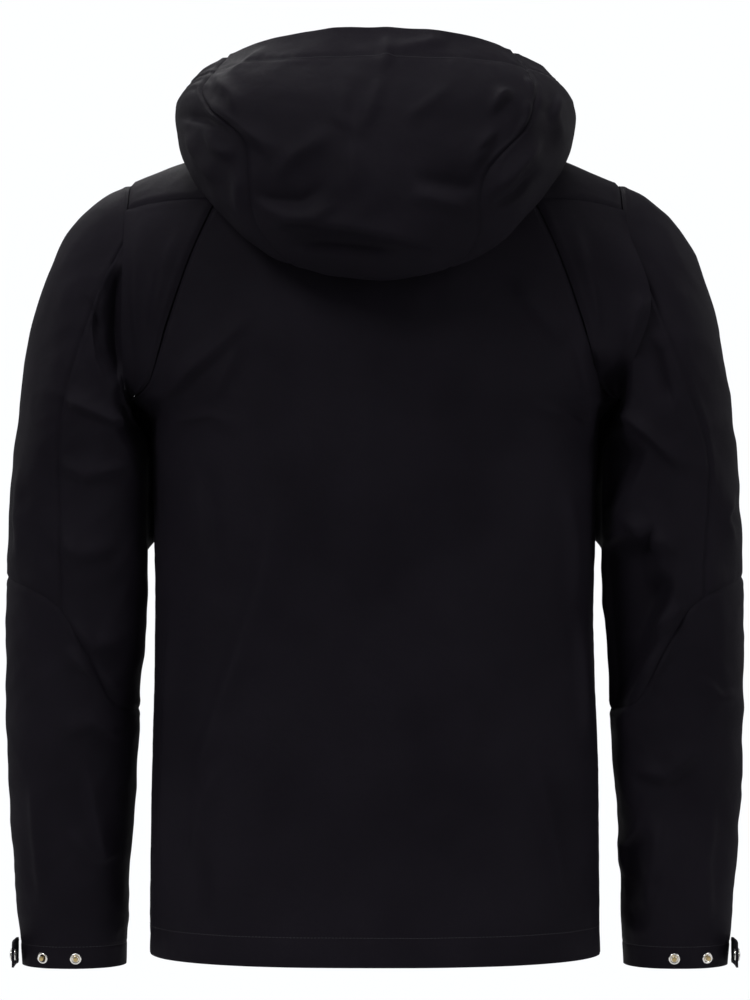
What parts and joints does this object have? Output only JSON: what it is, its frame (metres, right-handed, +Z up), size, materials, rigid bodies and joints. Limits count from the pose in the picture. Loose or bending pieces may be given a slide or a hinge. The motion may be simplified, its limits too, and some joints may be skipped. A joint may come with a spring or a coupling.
{
  "type": "hardshell jacket",
  "caption": "Black hooded waterproof shell jacket with stuffed-down hood, raised collar, full front zip, slanted hand pockets, panelled sleeves and snap tabs at the cuffs.",
  "frame": {"origin": "centre of the neck opening, level with the shoulder line beside the neck; the jacket hangs from the wearer's neck and shoulders there", "axes": "+X to the wearer's left, -Y the way the wearer faces, +Z up"},
  "size_m": [0.6954, 0.3283, 0.8691],
  "materials": {
    "shell_fabric": "matt three-layer woven shell",
    "facing_fabric": "smooth light lining",
    "brushed_lining": "brushed knit",
    "zip_tape": "laminated tape, low sheen",
    "zip_coil": "satin",
    "zip_puller": "satin coated",
    "snap_metal": "nickel"
  },
  "bodies": {
    "torso": {"back_panel": "shell_fabric", "back_gusset_left": "shell_fabric", "back_gusset_right": "shell_fabric", "shoulder_yoke_left": "shell_fabric", "shoulder_yoke_right": "shell_fabric", "front_panel_left": "shell_fabric", "front_panel_right": "shell_fabric", "hem_facing": "facing_fabric", "collar": "shell_fabric", "collar_lining": "brushed_lining", "chin_guard": "brushed_lining", "hanger_loop": "zip_tape", "zip_tape_left": "zip_tape", "zip_tape_right": "zip_tape", "zip_coil_left": "zip_coil", "zip_coil_right": "zip_coil", "zip_stop_left": "zip_coil", "zip_stop_right": "zip_coil", "zip_box": "zip_puller", "zip_pin": "zip_puller", "storm_flap": "facing_fabric", "pocket_tape_left": "zip_tape", "pocket_tape_right": "zip_tape", "pocket_coil_left": "zip_coil", "pocket_coil_right": "zip_coil", "pocket_bag_left": "facing_fabric", "pocket_bag_right": "facing_fabric", "hem_eyelet_left": "zip_puller", "hem_eyelet_right": "zip_puller"},
    "hood": {"hood_centre": "shell_fabric", "hood_side_left": "shell_fabric", "hood_side_right": "shell_fabric", "hood_brim": "facing_fabric", "hood_eyelet_left": "zip_puller", "hood_eyelet_right": "zip_puller"},
    "sleeve_left": {"sleeve_upper_left": "shell_fabric", "sleeve_under_left": "shell_fabric"},
    "forearm_left": {"forearm_left": "shell_fabric", "cuff_facing_left": "facing_fabric", "cuff_stud_1_left": "snap_metal", "cuff_stud_2_left": "snap_metal"},
    "tab_left": {"cuff_tab_left": "shell_fabric", "snap_socket_left": "snap_metal"},
    "sleeve_right": {"sleeve_upper_right": "shell_fabric", "sleeve_under_right": "shell_fabric"},
    "forearm_right": {"forearm_right": "shell_fabric", "cuff_facing_right": "facing_fabric", "cuff_stud_1_right": "snap_metal", "cuff_stud_2_right": "snap_metal"},
    "tab_right": {"cuff_tab_right": "shell_fabric", "snap_socket_right": "snap_metal"},
    "zip_slider": {"zip_slider": "zip_puller"},
    "zip_pull": {"zip_pull": "zip_puller"},
    "pocket_slider_left": {"pocket_slider_left": "zip_puller"},
    "pocket_pull_left": {"pocket_pull_left": "zip_puller"},
    "pocket_slider_right": {"pocket_slider_right": "zip_puller"},
    "pocket_pull_right": {"pocket_pull_right": "zip_puller"}
  },
  "joints": [
    {"name": "hood_lift", "type": "hinge", "parent": "torso", "child": "hood", "pos_m": [0, -0.06, 0.01], "axis": [1, 0, 0], "range_deg": [0, 20]},
    {"name": "shoulder_left", "type": "hinge", "parent": "torso", "child": "sleeve_left", "pos_m": [0.23, 0.01, -0.041], "axis": [0, -1, 0], "range_deg": [0, 40]},
    {"name": "elbow_left", "type": "hinge", "parent": "sleeve_left", "child": "forearm_left", "pos_m": [0.285, -0.072, -0.541], "axis": [-1, 0, 0], "range_deg": [0, 45]},
    {"name": "cuff_tab_left_fold", "type": "hinge", "parent": "forearm_left", "child": "tab_left", "pos_m": [0.3405, -0.0262, -0.7685], "axis": [0, 0, 1], "range_deg": [0, 20]},
    {"name": "shoulder_right", "type": "hinge", "parent": "torso", "child": "sleeve_right", "pos_m": [-0.23, 0.01, -0.041], "axis": [0, 1, 0], "range_deg": [0, 40]},
    {"name": "elbow_right", "type": "hinge", "parent": "sleeve_right", "child": "forearm_right", "pos_m": [-0.285, -0.072, -0.541], "axis": [-1, 0, 0], "range_deg": [0, 45]},
    {"name": "cuff_tab_right_fold", "type": "hinge", "parent": "forearm_right", "child": "tab_right", "pos_m": [-0.3405, -0.0262, -0.7685], "axis": [0, 0, -1], "range_deg": [0, 20]},
    {"name": "main_zip", "type": "slide", "parent": "torso", "child": "zip_slider", "axis": [0, -0.041, -0.9992], "range_m": [0, 0.79]},
    {"name": "main_pull_swing", "type": "hinge", "parent": "zip_slider", "child": "zip_pull", "pos_m": [0, -0.08847, 0.05261], "axis": [-1, 0, 0], "range_deg": [0, 120]},
    {"name": "pocket_zip_left", "type": "slide", "parent": "torso", "child": "pocket_slider_left", "axis": [0.0937, -0.011, -0.9955], "range_m": [0, 0.148]},
    {"name": "pocket_pull_left_swing", "type": "hinge", "parent": "pocket_slider_left", "child": "pocket_pull_left", "pos_m": [0.11335, -0.0991, -0.4643], "axis": [-0.9498, -0.3007, -0.0861], "range_deg": [0, 110]},
    {"name": "pocket_zip_right", "type": "slide", "parent": "torso", "child": "pocket_slider_right", "axis": [-0.0937, -0.011, -0.9955], "range_m": [0, 0.148]},
    {"name": "pocket_pull_right_swing", "type": "hinge", "parent": "pocket_slider_right", "child": "pocket_pull_right", "pos_m": [-0.11335, -0.0991, -0.4643], "axis": [-0.9498, 0.3007, 0.0861], "range_deg": [0, 110]}
  ]
}
